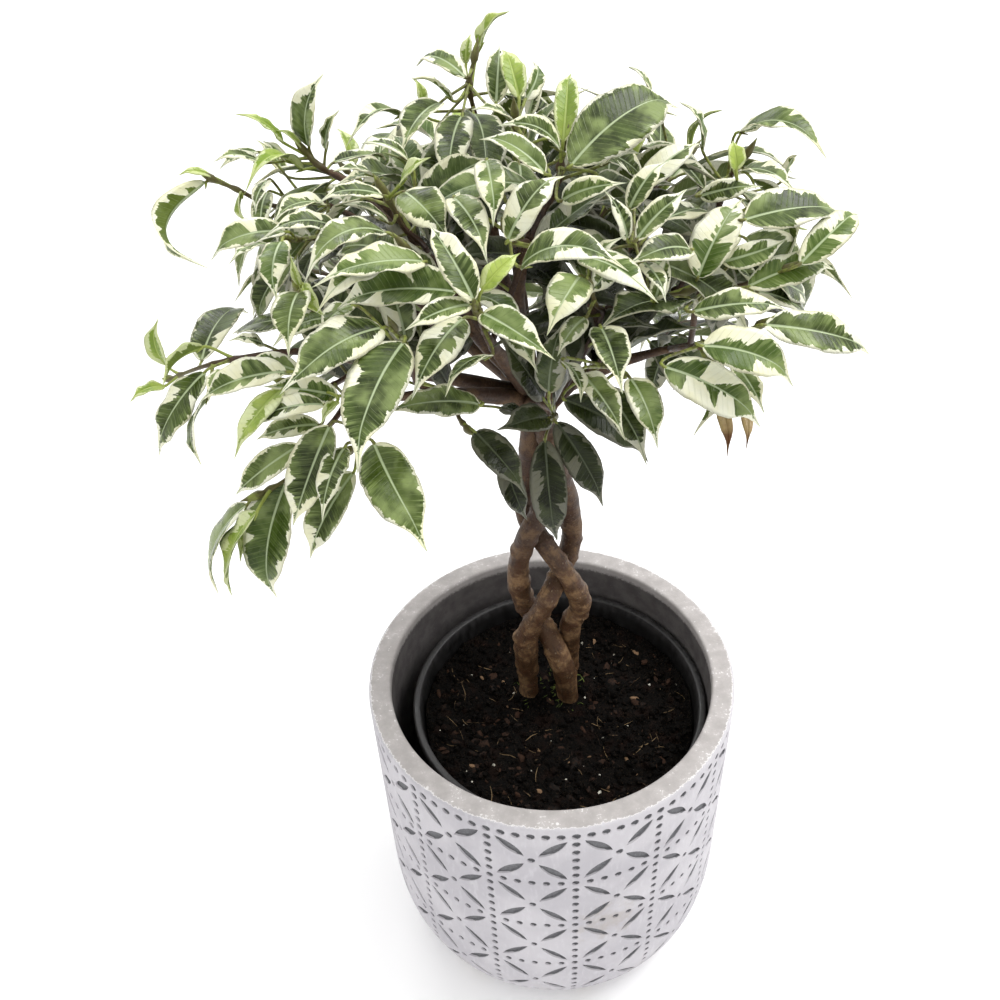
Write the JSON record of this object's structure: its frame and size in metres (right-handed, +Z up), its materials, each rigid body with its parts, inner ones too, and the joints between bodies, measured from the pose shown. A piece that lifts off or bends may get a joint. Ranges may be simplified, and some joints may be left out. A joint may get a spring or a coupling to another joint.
{
  "type": "potted weeping fig",
  "caption": "Small weeping fig with a plaited trunk and cream-edged leaves, rooted in a nursery pot that stands in a round cement cover pot.",
  "frame": {"origin": "centre of the cover pot's flat foot, on the surface that it stands on", "axes": "+Z up along the cover pot's axis, +X to the right and +Y away from the viewer in the picture"},
  "size_m": [0.2402, 0.2073, 0.3968],
  "materials": {
    "cement": "matt whitewashed cement, with grey cement in the recesses, on the rim and inside",
    "dark_plastic": "satin black plastic",
    "potting_soil": "moist dark soil with bark chips and white perlite",
    "bark": "smooth brown-grey bark",
    "foliage": "glossy leaves, green in the middle with jagged cream margins"
  },
  "bodies": {
    "root": {"nursery_pot": "dark_plastic", "planter": "cement", "soil": "potting_soil", "spray_centre_left": "foliage", "spray_centre_right": "foliage", "spray_front_left": "foliage", "spray_front_shoot": "foliage", "spray_left_buds": "foliage", "spray_left_hook": "foliage", "spray_left_mid": "foliage", "spray_left_tip": "foliage", "spray_left_upper": "foliage", "spray_low_left": "foliage", "spray_low_mid": "foliage", "spray_right_a": "foliage", "spray_right_b": "foliage", "spray_right_mid_up": "foliage", "spray_right_tip": "foliage", "spray_right_top": "foliage", "spray_right_under": "foliage", "spray_row1_1": "foliage", "spray_row1_2": "foliage", "spray_row1_3": "foliage", "spray_row1_4": "foliage", "spray_row2_1": "foliage", "spray_row2_2": "foliage", "spray_row2_3": "foliage", "spray_row2_4": "foliage", "spray_row2_5": "foliage", "spray_row3_1": "foliage", "spray_row3_2": "foliage", "spray_row3_3": "foliage", "spray_row3_4": "foliage", "spray_row4_1": "foliage", "spray_row4_2": "foliage", "spray_row5_1": "foliage", "spray_row5_2": "foliage", "spray_row5_3": "foliage", "spray_top_left": "foliage", "spray_top_mid": "foliage", "spray_top_right": "foliage", "spray_trunk_front": "foliage", "spray_under_left": "foliage", "spray_upper_centre": "foliage", "spray_upper_left_tip": "foliage", "spray_upper_mid_left": "foliage", "trunk": "bark"}
  },
  "joints": []
}
